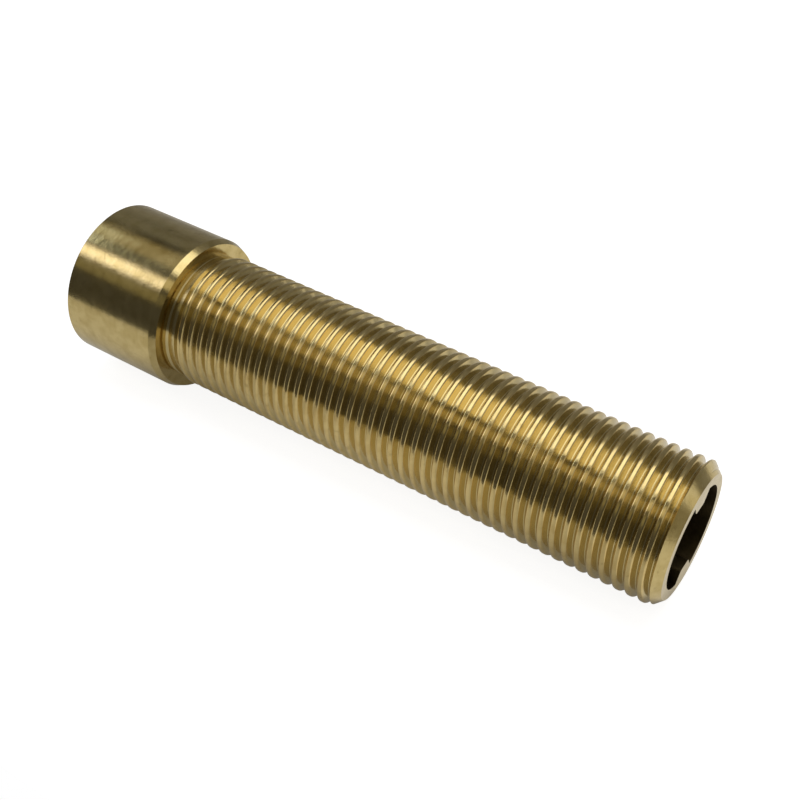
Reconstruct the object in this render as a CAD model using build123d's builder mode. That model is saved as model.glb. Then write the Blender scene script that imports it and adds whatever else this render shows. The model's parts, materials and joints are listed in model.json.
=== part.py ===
from build123d import *
import os
from math import radians, tan

# A turned brass pipe extension: a smooth socket collar at the foot, a long pipe thread above it.
# It stands on the socket end. The origin is the centre of that end face, and +Z runs up the bore.

# Overall sizes
total_length = 100.0
collar_diameter = 24.5
collar_length = 18.0
collar_foot_chamfer = 0.3

# Long bevel between the side of the collar and its shoulder face
shoulder_bevel_length = 1.1
shoulder_bevel_depth = 0.45

# Male thread: half-inch parallel pipe thread, 14 turns to the inch, here at its flat-topped crests
thread_pitch = 25.4 / 14
thread_depth = 0.93
thread_diameter = 20.8
thread_start_chamfer = 0.35

# Neck between the shoulder and the first full turn, where the thread runs out
neck_turns = 1.25
neck_depth = 0.45

# The bevel at the threaded end reaches under the root of the thread
end_chamfer_height = 1.35
end_chamfer_margin = 0.42

# Waterway with two driving lugs, facing each other along its whole length
bore_diameter = 15.0
lug_height = 2.15
lug_tip_width = 2.5
lug_flank_angle = 30.0
lug_edge_radius = 0.35

# Tapped socket in the collar, drilled to the crests of its inner thread
socket_diameter = 18.63
socket_depth = 13.0
socket_mouth_diameter = 21.2
socket_mouth_angle = 45.0

# Sizes that follow from the ones above
neck_diameter = thread_diameter - 2 * neck_depth
thread_base = collar_length + neck_turns * thread_pitch
end_chamfer_depth = thread_depth + end_chamfer_margin
lug_tip_radius = bore_diameter / 2 - lug_height
lug_root_half_width = lug_tip_width / 2 + lug_height * tan(radians(lug_flank_angle))
mouth_widening = (socket_mouth_diameter - socket_diameter) / 2
mouth_depth = mouth_widening / tan(radians(socket_mouth_angle))

os.makedirs("parts", exist_ok=True)

# One lug in section: flat tip towards the axis, flanks that widen into the wall of the bore
with BuildSketch() as lug_section:
    with BuildLine():
        Polyline(
            (0, lug_tip_width / 2),
            (lug_height, lug_root_half_width),
            (2 * lug_height, lug_root_half_width),
            (2 * lug_height, -lug_root_half_width),
            (lug_height, -lug_root_half_width),
            (0, -lug_tip_width / 2),
            close=True,
        )
    make_face()
    fillet(lug_section.vertices().group_by(Axis.X)[0], radius=lug_edge_radius)

with BuildPart() as threaded_extension:
    # Collar with its small foot chamfer and the long bevel at the shoulder
    with BuildSketch(Plane.XY):
        Circle(collar_diameter / 2)
    extrude(amount=collar_length)
    foot_rim = threaded_extension.edges().filter_by(GeomType.CIRCLE).sort_by(Axis.Z)[0]
    chamfer(foot_rim, length=collar_foot_chamfer)
    shoulder_face = threaded_extension.faces().sort_by(Axis.Z)[-1]
    chamfer(
        shoulder_face.edges(),
        length=shoulder_bevel_depth,
        length2=shoulder_bevel_length,
        reference=shoulder_face,
    )

    # Neck, then the round that the thread is cut on
    with BuildSketch(Plane.XY.offset(collar_length)):
        Circle(neck_diameter / 2)
    extrude(amount=thread_base - collar_length)
    with BuildSketch(Plane.XY.offset(thread_base)):
        Circle(thread_diameter / 2)
    extrude(amount=total_length - thread_base)

    thread_base_rims = threaded_extension.edges(Select.LAST).group_by(Axis.Z)[0]

    # The first turn starts behind a small bevel, the last one ends at the chamfered face
    chamfer(thread_base_rims.sort_by(SortBy.RADIUS)[-1], length=thread_start_chamfer)
    end_face = threaded_extension.faces().sort_by(Axis.Z)[-1]
    chamfer(
        end_face.edges(),
        length=end_chamfer_depth,
        length2=end_chamfer_height,
        reference=end_face,
    )

    # Waterway: the drilled round less the two lugs that a key turns the piece by
    with BuildSketch(Plane.XY.offset(socket_depth)):
        Circle(bore_diameter / 2)
        with PolarLocations(0, 2):
            with Locations((lug_tip_radius, 0)):
                add(lug_section.sketch, mode=Mode.SUBTRACT)
    extrude(amount=total_length - socket_depth, mode=Mode.SUBTRACT)

    # Socket: drilled to the crests of its inner thread, with a bevelled mouth
    with BuildSketch(Plane.XY):
        Circle(socket_diameter / 2)
    extrude(amount=socket_depth, mode=Mode.SUBTRACT)
    foot_face = threaded_extension.faces().sort_by(Axis.Z)[0]
    mouth_rim = foot_face.edges().sort_by(SortBy.RADIUS)[0]
    chamfer(mouth_rim, length=mouth_widening, length2=mouth_depth, reference=foot_face)

threaded_extension.part.label = "threaded_extension"
export_step(threaded_extension.part, "parts/threaded_extension.step")
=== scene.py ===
"""Looks of a turned brass pipe extension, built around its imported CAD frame.

The piece stands on its socket end in the frame, with +Z along the bore. In the photograph it lies on
its side, so the floor of this scene is the plane that the side of the collar and the last thread rest
on, and the camera is turned with it. Sizes are given in millimetres and turned into metres by MM.
"""

import json
import logging
import math
from dataclasses import dataclass, field
from enum import Enum
from typing import Iterable

import bpy
from mathutils import Euler, Matrix, Vector


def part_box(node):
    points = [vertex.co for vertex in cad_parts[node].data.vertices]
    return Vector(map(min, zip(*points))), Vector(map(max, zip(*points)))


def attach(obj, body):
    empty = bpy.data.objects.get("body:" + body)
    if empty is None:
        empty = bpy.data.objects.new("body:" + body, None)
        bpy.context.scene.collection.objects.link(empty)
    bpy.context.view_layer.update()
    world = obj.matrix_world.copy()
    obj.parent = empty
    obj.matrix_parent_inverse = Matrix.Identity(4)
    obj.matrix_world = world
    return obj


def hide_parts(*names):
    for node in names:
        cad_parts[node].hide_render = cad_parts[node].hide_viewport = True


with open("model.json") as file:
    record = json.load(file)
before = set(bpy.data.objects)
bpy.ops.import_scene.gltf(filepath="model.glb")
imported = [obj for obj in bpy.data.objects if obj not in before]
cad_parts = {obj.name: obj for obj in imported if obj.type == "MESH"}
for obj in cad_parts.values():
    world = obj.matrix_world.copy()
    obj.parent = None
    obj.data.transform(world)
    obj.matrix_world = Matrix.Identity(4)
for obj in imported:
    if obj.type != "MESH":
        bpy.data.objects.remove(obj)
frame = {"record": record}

logging.basicConfig(level=logging.INFO, format="%(message)s")
LOG = logging.getLogger("pipe_extension")

MM = 0.001
NODE = "threaded_extension"
PIECE = "brass_extension"
STEPS = 120
MERGE = 0.002 * MM
SMOOTH_ANGLE = math.radians(20)
WHITE = "#FFFFFF"

# The Mix node keeps one set of sockets for each kind of value that it mixes.
FLOAT_A, FLOAT_B = 2, 3
COLOUR_A, COLOUR_B, COLOUR_OUT = 6, 7, 2

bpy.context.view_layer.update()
NODE_LOW, NODE_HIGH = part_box(NODE)


class Solver(Enum):
    """How one solid is cut by another."""

    INTERSECT = "INTERSECT"
    UNION = "UNION"
    DIFFERENCE = "DIFFERENCE"


class Part(Enum):
    """What is picked in a mesh in edit mode."""

    FACE = "FACE"
    EDGE = "EDGE"


class Finish(Enum):
    """Material slots of the piece, in the order in which its mesh holds them."""

    TURNED = 0
    THREADED = 1
    TAPPED = 2
    DRILLED = 3


def mount_radius(name: str) -> float:
    """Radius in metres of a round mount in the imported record."""
    mounts = {mount["name"]: mount for mount in frame["record"]["mounts"]}
    return mounts[name]["dims"]["r_mm"] * MM


def deselect() -> None:
    """Clear the selection, so that an operator acts on one piece alone."""
    if bpy.context.object and bpy.context.object.mode != "OBJECT":
        bpy.ops.object.mode_set(mode="OBJECT")
    bpy.ops.object.select_all(action="DESELECT")


def pick(piece: bpy.types.Object) -> None:
    """Make one object the only selected one and the active one.

    Args:
        piece: The object that the next operator acts on.
    """
    deselect()
    piece.select_set(True)
    bpy.context.view_layer.objects.active = piece


def unselect_parts(kind: Part) -> None:
    """Leave nothing of the active mesh selected, so that faces or edges can be picked by their place.

    Args:
        kind: What is picked next.
    """
    bpy.ops.object.mode_set(mode="EDIT")
    bpy.ops.mesh.select_mode(type=kind.value)
    bpy.ops.mesh.select_all(action="DESELECT")
    bpy.ops.object.mode_set(mode="OBJECT")


def apply_modifier(piece: bpy.types.Object, modifier: bpy.types.Modifier) -> None:
    """Apply one modifier of a piece for good."""
    pick(piece)
    bpy.ops.object.modifier_apply(modifier=modifier.name)


def combine(piece: bpy.types.Object, tool: bpy.types.Object, how: Solver) -> None:
    """Cut or join a piece with a tool solid, and remove the tool.

    Args:
        piece: The solid that is kept.
        tool: The solid that cuts it or joins it.
        how: Whether the tool trims, joins or cuts.
    """
    modifier = piece.modifiers.new(how.name.lower(), "BOOLEAN")
    modifier.operation = how.value
    modifier.solver = "MANIFOLD"
    modifier.object = tool
    apply_modifier(piece, modifier)
    bpy.data.objects.remove(tool)


def turned(name: str, stations: list[tuple[float, float]]) -> bpy.types.Object:
    """Turn a solid from the radius that it has at each height.

    Args:
        name: Name of the new object.
        stations: Pairs of radius and height in metres, from the lowest to the highest.

    Returns:
        A closed round solid about the Z axis.
    """
    (low_radius, low), (high_radius, high) = stations[:2]
    deselect()
    bpy.ops.mesh.primitive_cone_add(
        vertices=STEPS,
        radius1=low_radius,
        radius2=high_radius,
        depth=high - low,
        location=(0, 0, (low + high) / 2),
    )
    piece = bpy.context.object
    piece.name = name
    bpy.ops.object.transform_apply(location=True, rotation=True, scale=True)
    unselect_parts(Part.FACE)
    cap = max(piece.data.polygons, key=lambda face: face.center.z + face.normal.z)
    cap.select = True
    bpy.ops.object.mode_set(mode="EDIT")
    for (radius, height), (before, below) in zip(stations[2:], stations[1:]):
        bpy.ops.mesh.extrude_region_move(TRANSFORM_OT_translate={"value": (0, 0, height - below)})
        share = radius / before
        bpy.ops.transform.resize(value=(share, share, 1), center_override=(0, 0, height))
    bpy.ops.object.mode_set(mode="OBJECT")
    return piece


def turn_to_linear(code: str) -> tuple[float, float, float, float]:
    """Turn an sRGB hex colour into linear values.

    Args:
        code: Colour such as "#C8A05A".

    Returns:
        Linear red, green, blue and an alpha of 1.
    """
    shares = [int(code[at:at + 2], 16) / 255 for at in (1, 3, 5)]
    linear = [s / 12.92 if s <= 0.04045 else ((s + 0.055) / 1.055) ** 2.4 for s in shares]
    return linear[0], linear[1], linear[2], 1.0


def add_node(tree: bpy.types.NodeTree, kind: str, settings: dict, links: dict) -> bpy.types.Node:
    """Add a node with its settings and what feeds it.

    Args:
        tree: Node tree that gets the node.
        kind: Type of the node, such as "ShaderNodeMath".
        settings: Properties by name, and input values by socket name or number.
        links: Output sockets by the name or number of the input that they feed.

    Returns:
        The new node.
    """
    node = tree.nodes.new(kind)
    for key, value in settings.items():
        if isinstance(key, str) and hasattr(node, key):
            setattr(node, key, value)
        else:
            node.inputs[key].default_value = value
    for key, socket in links.items():
        tree.links.new(socket, node.inputs[key])
    return node


@dataclass(frozen=True)
class PipeThread:
    """Pipe thread with flanks at 27.5 degrees and worn, crowned crests, along a right-hand helix."""

    crest_radius: float
    pitch: float = 25.4 / 14 * MM
    half_angle: float = math.radians(27.5)
    crest_flat: float = 0.24 * MM
    crest_rounding: float = 0.32 * MM
    root_rounding: float = 0.17 * MM
    crest_parts: int = 4
    root_parts: int = 2

    @property
    def depth(self) -> float:
        """Depth of the groove that the two roundings leave between the flanks.

        Returns:
            The distance from crest to root in metres.
        """
        roundings = self.crest_rounding + self.root_rounding
        reach = self.pitch / 2 - self.crest_flat / 2 - roundings * math.cos(self.half_angle)
        return reach / math.tan(self.half_angle) + roundings * (1 - math.sin(self.half_angle))

    @property
    def root_radius(self) -> float:
        """Radius at the bottom of the groove."""
        return self.crest_radius - self.depth

    def section(self) -> list[tuple[float, float]]:
        """One pitch of the thread in section.

        Returns:
            Pairs of radius and height from the middle of one groove to the middle of the next, with
            the crest at height 0.
        """
        span = math.pi / 2 - self.half_angle
        dip, crown = self.root_rounding, self.crest_rounding
        hollow = [span * part / self.root_parts for part in range(self.root_parts + 1)]
        round_off = [span * part / self.crest_parts for part in range(self.crest_parts + 1)]
        floor = self.root_radius + dip
        top = self.crest_radius - crown
        edge = self.crest_flat / 2
        rise = [(floor - dip * math.cos(t), dip * math.sin(t) - self.pitch / 2) for t in hollow]
        rise += [(top + crown * math.cos(t), -edge - crown * math.sin(t)) for t in reversed(round_off)]
        fall = [(radius, -height) for radius, height in reversed(rise)]
        return rise + fall

    def rod(self, name: str, low: float, high: float, crest_at: float) -> bpy.types.Object:
        """Make a solid rod with this thread on it, cut square at both ends.

        Args:
            name: Name of the new object.
            low: Height of the lower end.
            high: Height of the upper end.
            crest_at: Height of one crest above the X axis.

        Returns:
            A closed threaded rod.
        """
        start = crest_at + math.floor((low - crest_at) / self.pitch - 1) * self.pitch
        turns = math.ceil((high - start) / self.pitch) + 1
        profile = [(radius, 0.0, start + height) for radius, height in self.section()]
        mesh = bpy.data.meshes.new(name)
        mesh.from_pydata(profile, [(at, at + 1) for at in range(len(profile) - 1)], [])
        piece = bpy.data.objects.new(name, mesh)
        bpy.context.collection.objects.link(piece)
        screw = piece.modifiers.new("helix", "SCREW")
        screw.angle = math.tau
        screw.screw_offset = self.pitch
        screw.iterations = turns
        screw.steps = STEPS
        screw.render_steps = STEPS
        apply_modifier(piece, screw)
        bpy.ops.object.mode_set(mode="EDIT")
        bpy.ops.mesh.select_all(action="SELECT")
        bpy.ops.mesh.remove_doubles(threshold=MERGE)
        for height, cut in ((low, {"clear_inner": True}), (high, {"clear_outer": True})):
            bpy.ops.mesh.select_all(action="SELECT")
            bpy.ops.mesh.bisect(
                plane_co=(0, 0, height), plane_no=(0, 0, 1), threshold=MERGE / 10, use_fill=True, **cut
            )
        bpy.ops.mesh.select_all(action="SELECT")
        bpy.ops.mesh.normals_make_consistent(inside=False)
        bpy.ops.object.mode_set(mode="OBJECT")
        return piece


@dataclass(frozen=True)
class Patches:
    """Cloudy patches: their size, how far they break up, and the noise where they start and end."""

    size: float
    detail: float
    start: float
    end: float

    def spread(
        self, tree: bpy.types.NodeTree, place: bpy.types.NodeSocket, full: float = 1.0, bare: float = 0.0
    ) -> bpy.types.Node:
        """Spread the patches over a surface.

        Args:
            tree: Node tree of the material.
            place: Coordinates that the patches lie in.
            full: Value within a patch.
            bare: Value between the patches.

        Returns:
            The node whose first output holds the patches.
        """
        noise = add_node(tree, "ShaderNodeTexNoise",
                         {"Scale": 1 / self.size, "Detail": self.detail},
                         {"Vector": place})
        return add_node(tree, "ShaderNodeMapRange",
                        {"From Min": self.start, "From Max": self.end, "To Min": bare, "To Max": full},
                        {"Value": noise.outputs[0]})


@dataclass(frozen=True)
class Brass:
    """Bare brass bar, worked on a lathe and dulled by handling and storage."""

    name: str
    fresh: str = "#D4BF85"
    dull: str = "#C5AF73"
    stain: str = "#8A7444"
    flank: str = "#D2BF8A"
    smooth: float = 0.14
    rough: float = 0.22
    mark_spacing: float = 0.22 * MM
    mark_detail: float = 2.0
    mark_depth: float = 0.0006 * MM
    wave_depth: float = 0.006 * MM
    grain_depth: float = 0.0
    stain_strength: float = 0.35
    mottle: Patches = Patches(1.6 * MM, 5.0, 0.38, 0.68)
    stains: Patches = Patches(1.1 * MM, 3.0, 0.62, 0.76)
    smudges: Patches = Patches(7 * MM, 3.0, 0.35, 0.65)
    pits: Patches = Patches(0.35 * MM, 2.0, 0.3, 0.7)
    groove: tuple[float, float] | None = None

    def material(self) -> bpy.types.Material:
        """Make the material.

        Returns:
            A metal whose colour, roughness and bump come from the lathe and from handling; in the drilled
            finish its dark colours are painted shade.
        """
        material = bpy.data.materials.new(self.name)
        material.use_nodes = True
        tree = material.node_tree
        shader = tree.nodes["Principled BSDF"]
        shader.inputs["Metallic"].default_value = 1.0
        place = add_node(tree, "ShaderNodeTexCoord", {}, {}).outputs["Object"]
        flat = add_node(tree, "ShaderNodeVectorMath", {"operation": "MULTIPLY", 1: (1, 1, 0)}, {0: place})
        radius = add_node(tree, "ShaderNodeVectorMath", {"operation": "LENGTH"}, {0: flat.outputs[0]})
        height = add_node(tree, "ShaderNodeSeparateXYZ", {}, {0: place}).outputs["Z"]

        # The tool leaves rings along the side and across the faces. Real ones lie about 0.1 mm apart,
        # too fine for the render, so they are drawn at twice that. They draw highlights out a little.
        path = add_node(tree, "ShaderNodeMath", {"operation": "ADD"},
                        {0: height, 1: radius.outputs["Value"]})
        rings = add_node(tree, "ShaderNodeTexNoise",
                         {"noise_dimensions": "1D",
                          "Scale": 1 / self.mark_spacing,
                          "Detail": self.mark_detail},
                         {"W": path.outputs[0]})

        # Air and fingers dull the brass in patches of a millimetre or two, from pale to olive.
        mottle = self.mottle.spread(tree, place)
        colour = add_node(tree, "ShaderNodeMix",
                          {"data_type": "RGBA",
                           COLOUR_A: turn_to_linear(self.fresh),
                           COLOUR_B: turn_to_linear(self.dull)},
                          {0: mottle.outputs[0]})

        # A few small brown stains sit on the side, where drops of coolant dried.
        stains = self.stains.spread(tree, place, self.stain_strength)
        colour = self.cover(tree, colour, stains, self.stain)

        # Fingers reach only the crests, so the flanks keep the paler colour of fresh cut brass.
        if self.groove:
            low, high = self.groove
            bottom = add_node(tree, "ShaderNodeMapRange",
                              {"From Min": high, "From Max": low},
                              {"Value": radius.outputs["Value"]})
            colour = self.cover(tree, colour, bottom, self.flank)
        tree.links.new(colour.outputs[COLOUR_OUT], shader.inputs["Base Color"])

        # Smudges a finger wide blur the reflections in places.
        smudges = self.smudges.spread(tree, place, self.rough, self.smooth)
        tree.links.new(smudges.outputs[0], shader.inputs["Roughness"])

        # Rings and a faint waviness bend the edges of the reflections.
        fine = add_node(tree, "ShaderNodeBump", {"Distance": self.mark_depth},
                        {"Height": rings.outputs[0]})
        wave = add_node(tree, "ShaderNodeBump", {"Distance": self.wave_depth},
                        {"Height": mottle.outputs[0], "Normal": fine.outputs[0]})

        # Where the bar was torn rather than cut, fine pits break the reflections up into grains.
        pits = self.pits.spread(tree, place)
        grain = add_node(tree, "ShaderNodeBump", {"Distance": self.grain_depth},
                         {"Height": pits.outputs[0], "Normal": wave.outputs[0]})
        tree.links.new(grain.outputs[0], shader.inputs["Normal"])
        return material

    @staticmethod
    def cover(
        tree: bpy.types.NodeTree, under: bpy.types.Node, share: bpy.types.Node, colour: str
    ) -> bpy.types.Node:
        """Lay a colour over another one.

        Args:
            tree: Node tree of the material.
            under: Colour mix that is covered.
            share: Node whose first output says how much is covered.
            colour: The covering colour.

        Returns:
            The new colour mix.
        """
        return add_node(tree, "ShaderNodeMix",
                        {"data_type": "RGBA", COLOUR_B: turn_to_linear(colour)},
                        {0: share.outputs[0], COLOUR_A: under.outputs[COLOUR_OUT]})


# The turned faces mirror the lamps in long clean bands with slightly grained edges. The thread breaks
# the same bands up, one stripe to a ridge. The tapped socket is duller. The drilled waterway gets dark
# brown colours as painted shade, for the shade deep inside the bore.
BRASS_FINISHES = {
    Finish.TURNED: Brass("turned_brass", grain_depth=0.0015 * MM),
    Finish.THREADED: Brass(
        "cut_thread_brass",
        fresh="#DDC68A",
        dull="#D2B87A",
        smooth=0.14,
        rough=0.24,
        groove=(10.0 * MM, 10.25 * MM),
        wave_depth=0.008 * MM,
    ),
    Finish.TAPPED: Brass("tapped_brass", smooth=0.2, rough=0.3, groove=(9.7 * MM, 9.45 * MM)),
    # The dark brown colours here are painted shade for the inside of the bore.
    Finish.DRILLED: Brass(
        "drilled_brass_painted_shade", fresh="#5E5137", dull="#4A3F2A", stain="#332A1B", smooth=0.35, rough=0.5
    ),
}


@dataclass
class Extension:
    """The whole piece: collar with its socket, neck, long thread and waterway with two lugs."""

    length: float = NODE_HIGH[2] - NODE_LOW[2]
    collar_radius: float = NODE_HIGH[0]
    collar_length: float = 18 * MM
    foot_chamfer: float = 0.3 * MM
    bevel_length: float = 1.1 * MM
    bevel_depth: float = 0.45 * MM
    neck_turns: float = 1.25
    neck_depth: float = 0.45 * MM
    start_chamfer: float = 0.35 * MM
    end_chamfer_height: float = 1.35 * MM
    end_chamfer_depth: float = 1.35 * MM
    runout: float = 0.3 * MM
    bore_radius: float = 7.5 * MM
    lug_height: float = 2.15 * MM
    lug_tip_width: float = 2.5 * MM
    lug_flank_angle: float = math.radians(30)
    lug_edge_radius: float = 0.35 * MM
    lug_edge_parts: int = 4
    socket_depth: float = 13 * MM
    socket_mouth_radius: float = 10.6 * MM
    tapped_depth: float = 11.2 * MM
    tap_lead: float = 2.0 * MM

    # One crest of the thread stands above the X axis at this height, as in the photograph.
    crest_at: float = 97.02 * MM

    # Least clearance between two surfaces, reach of a tool past a face, and the share of the end
    # chamfer by which a face on it may miss its slope.
    skin: float = 0.01 * MM
    overshoot: float = 1.0 * MM
    bevel_slack: float = 0.01

    thread: PipeThread = field(default_factory=lambda: PipeThread(mount_radius("male_thread")))
    finishes: dict[Finish, Brass] = field(default_factory=lambda: dict(BRASS_FINISHES))

    def threaded_length(self) -> bpy.types.Object:
        """Cut the long thread and trim it to the neck, the start bevel and the end chamfer.

        Returns:
            The threaded part of the piece, still without its waterway.
        """
        pitch = self.thread.pitch
        crest = self.thread.crest_radius
        neck = crest - self.neck_depth - self.skin
        foot = self.collar_length + self.runout / 2
        base = self.collar_length + self.neck_turns * pitch
        clear = crest + self.overshoot
        face = crest - self.end_chamfer_depth
        steep = (crest - face) / self.end_chamfer_height
        piece = self.thread.rod(NODE + "_skin", foot, self.length + self.overshoot, self.crest_at)
        envelope = turned("lathe_path", [
            (neck, foot - self.overshoot),
            (neck, base),
            (crest - self.start_chamfer, base),
            (clear, base + self.start_chamfer + self.overshoot),
            (clear, self.length - self.end_chamfer_height - self.overshoot / steep),
            (face, self.length),
        ])
        combine(piece, envelope, Solver.INTERSECT)
        return piece

    def collar(self) -> bpy.types.Object:
        """Turn the collar with its bevels and the stub of the neck where the thread runs out.

        Returns:
            The collar, still without its socket.
        """
        side = self.collar_radius
        neck = self.thread.crest_radius - self.neck_depth
        core = self.thread.root_radius - self.skin
        top = self.collar_length
        return turned("collar_blank", [
            (side - self.foot_chamfer, 0),
            (side, self.foot_chamfer),
            (side, top - self.bevel_length),
            (side - self.bevel_depth, top),
            (neck, top),
            (neck, top + self.runout),
            (core, top + 3 * self.runout),
        ])

    def socket_tools(self) -> Iterable[bpy.types.Object]:
        """Make the drill, the mouth cutter and the tap of the socket.

        Returns:
            The tools one by one, in the order in which they cut.
        """
        drill = mount_radius("socket_thread")
        yield turned("drill", [(drill, -self.overshoot), (drill, self.socket_depth)])
        mouth = self.socket_mouth_radius
        past = self.overshoot
        yield turned("mouth_cutter", [(mouth + past, -past), (drill - past, mouth - drill + past)])
        tap_thread = PipeThread(drill - 2 * self.skin + self.thread.depth)
        tap = tap_thread.rod("tap", -past, self.tapped_depth + past, 0.0)
        outside = tap_thread.crest_radius + past
        lead = turned("tap_lead", [
            (outside, -2 * past),
            (outside, self.tapped_depth - self.tap_lead),
            (tap_thread.root_radius - self.skin, self.tapped_depth),
        ])
        combine(tap, lead, Solver.INTERSECT)
        yield tap

    def lug(self, angle: float) -> bpy.types.Object:
        """Make one driving lug as a bar that reaches out into the wall of the bore.

        Args:
            angle: Direction of the lug about the Z axis.

        Returns:
            The bar, a little longer than the waterway.
        """
        low = self.socket_depth - 2 * self.overshoot
        high = self.length + 2 * self.overshoot
        reach = 2 * self.lug_height
        tip = self.bore_radius - self.lug_height
        deselect()
        bpy.ops.mesh.primitive_cube_add(size=1, location=(tip + reach / 2, 0, (low + high) / 2))
        bar = bpy.context.object
        bar.scale = (reach, self.lug_tip_width, high - low)
        bpy.ops.object.transform_apply(location=True, rotation=True, scale=True)
        spread = 1 + 2 * reach * math.tan(self.lug_flank_angle) / self.lug_tip_width
        unselect_parts(Part.FACE)
        max(bar.data.polygons, key=lambda side: side.normal.x).select = True
        bpy.ops.object.mode_set(mode="EDIT")
        bpy.ops.transform.resize(value=(1, spread, 1), center_override=(tip + reach, 0, 0))
        unselect_parts(Part.EDGE)
        for edge in bar.data.edges:
            ends = [bar.data.vertices[at].co for at in edge.vertices]
            upright = abs(ends[0].z - ends[1].z) > reach
            edge.select = upright and max(end.x for end in ends) < tip + self.skin
        bpy.ops.object.mode_set(mode="EDIT")
        bpy.ops.mesh.bevel(offset=self.lug_edge_radius, segments=self.lug_edge_parts, affect="EDGES")
        bpy.ops.object.mode_set(mode="OBJECT")
        bar.data.transform(Matrix.Rotation(angle, 4, "Z"))
        return bar

    def waterway_tool(self) -> bpy.types.Object:
        """Make the solid of the waterway: a round with two lugs taken out of it.

        Returns:
            The solid that cuts the waterway.
        """
        low = self.socket_depth - self.overshoot
        high = self.length + self.overshoot
        bore = turned("waterway", [(self.bore_radius, low), (self.bore_radius, high)])
        for angle in (0.0, math.pi):
            combine(bore, self.lug(angle), Solver.DIFFERENCE)
        return bore

    def build(self) -> bpy.types.Object:
        """Returns:
            The finished object.
        """
        piece = self.collar()
        for tool in self.socket_tools():
            combine(piece, tool, Solver.DIFFERENCE)
        combine(piece, self.threaded_length(), Solver.UNION)
        combine(piece, self.waterway_tool(), Solver.DIFFERENCE)
        piece.name = PIECE
        piece.data.name = piece.name
        pick(piece)
        bpy.ops.object.shade_smooth_by_angle(angle=SMOOTH_ANGLE)
        self.dress(piece)
        return piece

    def finish_at(self, centre: Vector) -> Finish:
        """Finish of the surface at a place.

        Args:
            centre: Middle of a face.

        Returns:
            Tapped in the socket, drilled in the waterway, threaded along the thread, turned elsewhere.
        """
        radius = math.hypot(centre.x, centre.y)
        if centre.z < self.skin or centre.z > self.length - self.skin:
            return Finish.TURNED
        if radius < self.bore_radius + self.skin:
            return Finish.DRILLED
        if centre.z < self.collar_length + self.skin:
            inside = radius < self.socket_mouth_radius and centre.z < self.collar_length - self.skin
            if not inside:
                return Finish.TURNED
            return Finish.TAPPED if centre.z < self.socket_depth - self.skin else Finish.DRILLED
        outward = 1 - (self.thread.crest_radius - radius) / self.end_chamfer_depth
        downward = (self.length - centre.z) / self.end_chamfer_height
        return Finish.TURNED if outward > downward - self.bevel_slack else Finish.THREADED

    def dress(self, piece: bpy.types.Object) -> None:
        """Give each region of the piece its finish.

        Args:
            piece: The finished mesh.
        """
        piece.data.materials.clear()
        for brass in self.finishes.values():
            piece.data.materials.append(brass.material())
        for face in piece.data.polygons:
            face.material_index = self.finish_at(face.center).value


@dataclass(frozen=True)
class Softbox:
    """One lamp of the studio, placed by the direction in which the piece sees it."""

    name: str
    azimuth: float
    elevation: float
    height: float
    distance: float
    width: float
    length: float
    radiance: float
    colour: str = WHITE
    fade: float = 0.06

    def hang(self) -> None:
        """Hang the lamp, facing the point of the axis at its height."""
        lamp = bpy.data.lights.new(self.name, "AREA")
        lamp.shape = "RECTANGLE"
        lamp.size = self.width + self.fade
        lamp.size_y = self.length + self.fade
        lamp.color = turn_to_linear(self.colour)[:3]
        lamp.energy = self.radiance * math.pi * lamp.size * lamp.size_y
        self.soften(lamp)
        holder = bpy.data.objects.new(self.name, lamp)
        turn, lift = math.radians(self.azimuth), math.radians(self.elevation)
        across = Vector((-math.sin(turn), math.cos(turn), 0))
        away = Vector((math.cos(turn) * math.cos(lift), math.sin(turn) * math.cos(lift), math.sin(lift)))
        holder.location = away * self.distance + Vector((0, 0, self.height))
        holder.rotation_euler = Matrix((across, away.cross(across), away)).transposed().to_euler()
        holder.visible_camera = False
        bpy.context.collection.objects.link(holder)

    def soften(self, lamp: bpy.types.Light) -> None:
        """Let the lamp fade out towards its edges, as cloth in front of a bulb does.

        Args:
            lamp: The lamp that the fade is given to.
        """
        lamp.use_nodes = True
        tree = lamp.node_tree
        place = add_node(tree, "ShaderNodeNewGeometry", {}, {}).outputs["Parametric"]
        sides = add_node(tree, "ShaderNodeSeparateXYZ", {}, {0: place})
        # A lamp's own coordinates run from 0 to 1 across it, so its middle lies at a half.
        half = 0.5
        shares = []
        for side, size in (("X", lamp.size), ("Y", lamp.size_y)):
            beside = add_node(tree, "ShaderNodeMath", {"operation": "SUBTRACT", 1: half},
                              {0: sides.outputs[side]})
            off = add_node(tree, "ShaderNodeMath", {"operation": "ABSOLUTE"}, {0: beside.outputs[0]})
            share = add_node(tree, "ShaderNodeMapRange",
                             {"interpolation_type": "SMOOTHSTEP",
                              "From Min": half,
                              "From Max": half - self.fade / size},
                             {"Value": off.outputs[0]})
            shares.append(share.outputs[0])
        level = add_node(tree, "ShaderNodeMath", {"operation": "MULTIPLY"}, {0: shares[0], 1: shares[1]})
        tree.links.new(level.outputs[0], tree.nodes["Emission"].inputs["Strength"])


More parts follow.
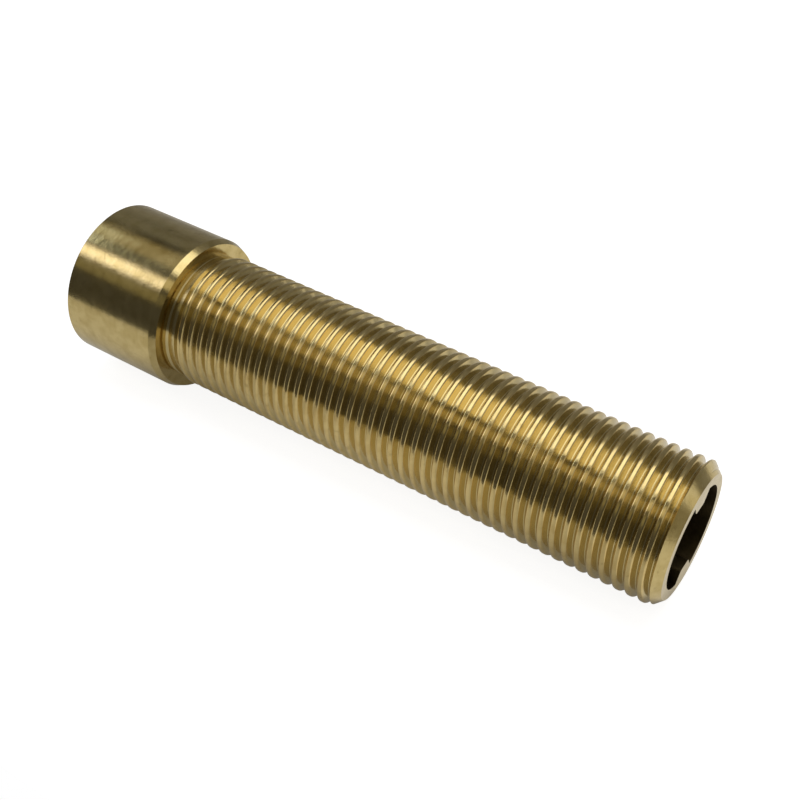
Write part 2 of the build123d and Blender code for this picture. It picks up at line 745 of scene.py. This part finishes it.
@dataclass
class Studio:
    """Pale floor under the side of the piece, plain soft lamps and a dim room around them."""

    collar_radius: float
    shoulder_height: float
    thread_radius: float
    thread_end_height: float

    # Brightness of the room, then the floor: its edge in front of the piece, its edge behind it, the
    # wall there, and its reach along the piece both ways.
    room: float = 0.065
    near_edge: float = 0.07
    far_edge: float = 0.35
    wall_height: float = 0.79
    reach: float = 0.6
    wall_margin: float = 2 * MM

    # Glow of the paper to the camera, its grey in the light of the lamps, and its colour in mirrors.
    glow: float = 0.9
    paper: float = 0.4
    tint: str = "#FFFDF8"

    # What mirrors see of the paper: pairs of place and level, across the piece, along it behind and in
    # front of it, past its threaded end, and up the wall. The levels are painted shadow of the piece,
    # darkest where it lies on the paper, and a painted falloff far behind it and up the wall. Past its
    # threaded end the paper is open, without painted shadow.
    across: tuple[tuple[float, float], ...] = (
        (-0.120, 0.08), (-0.045, 0.42), (-0.030, 0.58), (-0.016, 0.44),
        (-0.006, 0.38), (0.004, 0.28), (0.010, 0.33), (0.013, 0.40), (0.018, 0.46),
    )
    behind: tuple[tuple[float, float], ...] = ((-0.010, 0.5), (0.020, 1.0), (0.092, 0.9), (0.100, 1.0))
    past_end: tuple[tuple[float, float], ...] = ((0.100, 0.0), (0.1015, 1.0))
    open_level: float = 0.52
    front: tuple[tuple[float, float], ...] = (
        (0.006, 0.85), (0.014, 0.46), (0.030, 0.54), (0.045, 0.85), (0.060, 0.9), (0.085, 0.58),
    )
    painted_wall_falloff: tuple[tuple[float, float], ...] = ((0.05, 0.10), (0.20, 0.0))

    # Azimuth and elevation in degrees, then height, distance, width and length, radiance, colour, fade.
    lamps: tuple[Softbox, ...] = (
        Softbox("overhead_lamp", -9.5, 0, -0.0175, 0.6, 0.46, 0.595, 1.6, WHITE, 0.08),
        Softbox("upper_lamp", 10, 0, 0.74, 0.6, 0.72, 0.86, 0.5, "#FFFAEE"),
        Softbox("far_lamp", -1, 0, -0.7625, 0.6, 0.345, 0.495, 2.2, "#E0EEFF", 0.04),
        Softbox("ceiling_bounce", -9.5, 0, -0.425, 0.6, 0.27, 0.16, 0.21, "#FFE8A0", 0.1),
        Softbox("strip_lamp", 30, 0, -0.62, 0.5, 0.145, 0.61, 2.1, "#F6F4FF", 0.11),
        Softbox("strip_bounce", 28.5, 0, -0.03, 0.5, 0.13, 0.52, 0.65, "#FFF6D8"),
        Softbox("side_bounce", 51, 0, -0.2, 0.5, 0.13, 0.6, 0.18, "#FFF4B8"),
        Softbox("end_lamp", -57, 59, 0.1, 0.6, 0.2, 0.2, 0.6),
        Softbox("end_bounce", -16, 86, 0.05, 0.6, 0.7, 0.5, 0.2, "#FFF6D8"),
    )

    def sweep(self) -> bpy.types.Object:
        """Make the floor that the piece lies on, with a wall far behind it.

        Returns:
            One open sheet whose faces look at the piece.
        """
        slope = (self.collar_radius - self.thread_radius) / (self.thread_end_height - self.shoulder_height)
        rows = ((self.near_edge, 0.0), (-self.far_edge, 0.0), (-self.far_edge, self.wall_height))
        points = []
        for y, rise in rows:
            for z in (-self.reach, self.reach):
                x = -self.collar_radius + slope * (z - self.shoulder_height) + rise
                points.append((x, y, z))
        mesh = bpy.data.meshes.new("floor_sweep")
        mesh.from_pydata(points, [], [(0, 1, 3, 2), (2, 3, 5, 4)])
        floor = bpy.data.objects.new("floor_sweep", mesh)
        bpy.context.collection.objects.link(floor)
        return floor

    def mirror_level_with_painted_shadow(self, tree: bpy.types.NodeTree) -> bpy.types.Node:
        """Work out how bright the metal mirrors each place of the paper.

        Mirrors see a painted shadow of the piece darken the paper towards the piece and along it, and a
        painted falloff darken it far behind the piece and up the wall. Past its threaded end it lies open,
        with no painted shadow.

        Args:
            tree: Node tree of the paper.

        Returns:
            The node whose first output holds the level.
        """
        place = add_node(tree, "ShaderNodeTexCoord", {}, {})
        spot = add_node(tree, "ShaderNodeSeparateXYZ", {}, {0: place.outputs["Object"]}).outputs
        # These ramps paint the piece's shadow onto the paper as mirrors see it, and a falloff up the wall.
        across = self.level_along(tree, spot["Y"], self.across)
        behind = self.level_along(tree, spot["Z"], self.behind)
        front = self.level_along(tree, spot["Z"], self.front)
        past_end = self.level_along(tree, spot["Z"], self.past_end)
        painted_wall_falloff = self.level_along(tree, spot["X"], self.painted_wall_falloff)
        in_front = add_node(tree, "ShaderNodeMath", {"operation": "GREATER_THAN", 1: 0.0}, {0: spot["Y"]})
        along = add_node(tree, "ShaderNodeMix", {"data_type": "FLOAT"},
                         {0: in_front.outputs[0], FLOAT_A: behind.outputs[0], FLOAT_B: front.outputs[0]})
        beside = add_node(tree, "ShaderNodeMath", {"operation": "MULTIPLY"},
                          {0: across.outputs[0], 1: along.outputs[0]})
        floor = add_node(tree, "ShaderNodeMix", {"data_type": "FLOAT", FLOAT_B: self.open_level},
                         {0: past_end.outputs[0], FLOAT_A: beside.outputs[0]})
        on_wall = add_node(tree, "ShaderNodeMath",
                           {"operation": "LESS_THAN", 1: self.wall_margin - self.far_edge},
                           {0: spot["Y"]})
        return add_node(tree, "ShaderNodeMix", {"data_type": "FLOAT"},
                        {0: on_wall.outputs[0], FLOAT_A: floor.outputs[0], FLOAT_B: painted_wall_falloff.outputs[0]})

    def shown_colour(self, tree: bpy.types.NodeTree, path: bpy.types.Node) -> bpy.types.NodeSocket:
        """Make the colour of paper and room: white to the camera, faintly warm in mirrors.

        Args:
            tree: Node tree of the paper or the room.
            path: Its Light Path node.

        Returns:
            The socket that holds the colour.
        """
        mix = add_node(tree, "ShaderNodeMix",
                       {"data_type": "RGBA",
                        COLOUR_A: turn_to_linear(self.tint),
                        COLOUR_B: turn_to_linear(WHITE)},
                       {0: path.outputs["Is Camera Ray"]})
        return mix.outputs[COLOUR_OUT]

    def floor_material(self) -> bpy.types.Material:
        """Make the floor of white paper.

        Matt paper gives the eye a plain white ground that still keeps the soft shadow of the piece.

        Returns:
            A material that glows white to the camera, and in mirrors at its own level with the piece's
            shadow painted in.
        """
        material = bpy.data.materials.new("paper_with_painted_shadow")
        material.use_nodes = True
        tree = material.node_tree
        tree.nodes.clear()
        path = add_node(tree, "ShaderNodeLightPath", {}, {})
        mirrored = add_node(tree, "ShaderNodeMath", {"operation": "MAXIMUM"},
                            {0: path.outputs["Is Glossy Ray"], 1: path.outputs["Is Transmission Ray"]})
        to_mirrors = add_node(tree, "ShaderNodeMath", {"operation": "MULTIPLY"},
                              {0: mirrored.outputs[0], 1: self.mirror_level_with_painted_shadow(tree).outputs[0]})
        to_camera = add_node(tree, "ShaderNodeMath", {"operation": "MULTIPLY", 1: self.glow},
                             {0: path.outputs["Is Camera Ray"]})
        level = add_node(tree, "ShaderNodeMath", {"operation": "MAXIMUM"},
                         {0: to_camera.outputs[0], 1: to_mirrors.outputs[0]})
        glow = add_node(tree, "ShaderNodeEmission", {},
                        {"Color": self.shown_colour(tree, path), "Strength": level.outputs[0]})
        paper = add_node(tree, "ShaderNodeBsdfDiffuse",
                         {"Color": (self.paper, self.paper, self.paper, 1)}, {})
        both = add_node(tree, "ShaderNodeAddShader", {}, {0: glow.outputs[0], 1: paper.outputs[0]})
        side = add_node(tree, "ShaderNodeNewGeometry", {}, {})
        clear = add_node(tree, "ShaderNodeBsdfTransparent", {}, {})
        sheet = add_node(tree, "ShaderNodeMixShader", {},
                         {0: side.outputs["Backfacing"], 1: both.outputs[0], 2: clear.outputs[0]})
        add_node(tree, "ShaderNodeOutputMaterial", {}, {"Surface": sheet.outputs[0]})
        return material

    @staticmethod
    def level_along(
        tree: bpy.types.NodeTree, place: bpy.types.NodeSocket, stops: tuple[tuple[float, float], ...]
    ) -> bpy.types.Node:
        """Make a level that changes along one direction.

        Args:
            tree: Node tree of the material.
            place: Coordinate along that direction, in metres.
            stops: Pairs of place and level, from the lowest place up.

        Returns:
            The node whose first output holds the level.
        """
        start, end = stops[0][0], stops[-1][0]
        spot = add_node(tree, "ShaderNodeMapRange", {"From Min": start, "From Max": end},
                        {"Value": place})
        ramp = add_node(tree, "ShaderNodeValToRGB", {}, {0: spot.outputs[0]})
        steps = ramp.color_ramp.elements
        while len(steps) < len(stops):
            steps.new(1.0)
        for step, (at, level) in zip(steps, stops):
            step.position = (at - start) / (end - start)
            step.color = (level, level, level, 1)
        return ramp

    def world(self) -> None:
        """Light the scene from a dim room that the camera sees as white."""
        world = bpy.data.worlds.new("dim_room")
        world.use_nodes = True
        tree = world.node_tree
        tree.nodes.clear()
        path = add_node(tree, "ShaderNodeLightPath", {}, {})
        level = add_node(tree, "ShaderNodeMapRange", {"To Min": self.room, "To Max": 1.0},
                         {"Value": path.outputs["Is Camera Ray"]})
        sky = add_node(tree, "ShaderNodeBackground", {},
                       {"Color": self.shown_colour(tree, path), "Strength": level.outputs[0]})
        add_node(tree, "ShaderNodeOutputWorld", {}, {"Surface": sky.outputs[0]})
        bpy.context.scene.world = world

    def build(self) -> None:
        """Set up the floor, the room and the lamps."""
        floor = self.sweep()
        floor.data.materials.append(self.floor_material())
        self.world()
        for lamp in self.lamps:
            lamp.hang()


@dataclass(frozen=True)
class PhotoCamera:
    """Camera of the photograph, fitted to the outlines and the thread of the piece."""

    place: tuple[float, float, float] = (116.051 * MM, 113.43 * MM, 125.395 * MM)
    turn: tuple[float, float, float] = (-43.3575, -56.4209, -86.8987)
    lens: float = 54.927

    def mount(self) -> None:
        """Put the camera up and make it the scene's camera."""
        camera = bpy.data.cameras.new("photo_camera")
        camera.lens = self.lens
        camera.clip_start = MM
        holder = bpy.data.objects.new("photo_camera", camera)
        holder.location = self.place
        holder.rotation_euler = Euler([math.radians(angle) for angle in self.turn])
        bpy.context.collection.objects.link(holder)
        bpy.context.scene.camera = holder


def main() -> None:
    """Build the camera, the piece and the studio, and report the piece and the studio."""
    PhotoCamera().mount()
    maker = Extension()
    piece = maker.build()
    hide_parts(NODE)
    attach(piece, "root")
    LOG.info("%s: %d faces", piece.name, len(piece.data.polygons))
    Studio(
        collar_radius=maker.collar_radius,
        shoulder_height=maker.collar_length - maker.bevel_length,
        thread_radius=maker.thread.crest_radius,
        thread_end_height=maker.length - maker.end_chamfer_height,
    ).build()
    LOG.info("studio: floor, room and lamps are set")
    bpy.context.scene.view_settings.view_transform = "Standard"


if __name__ == "__main__":
    main()
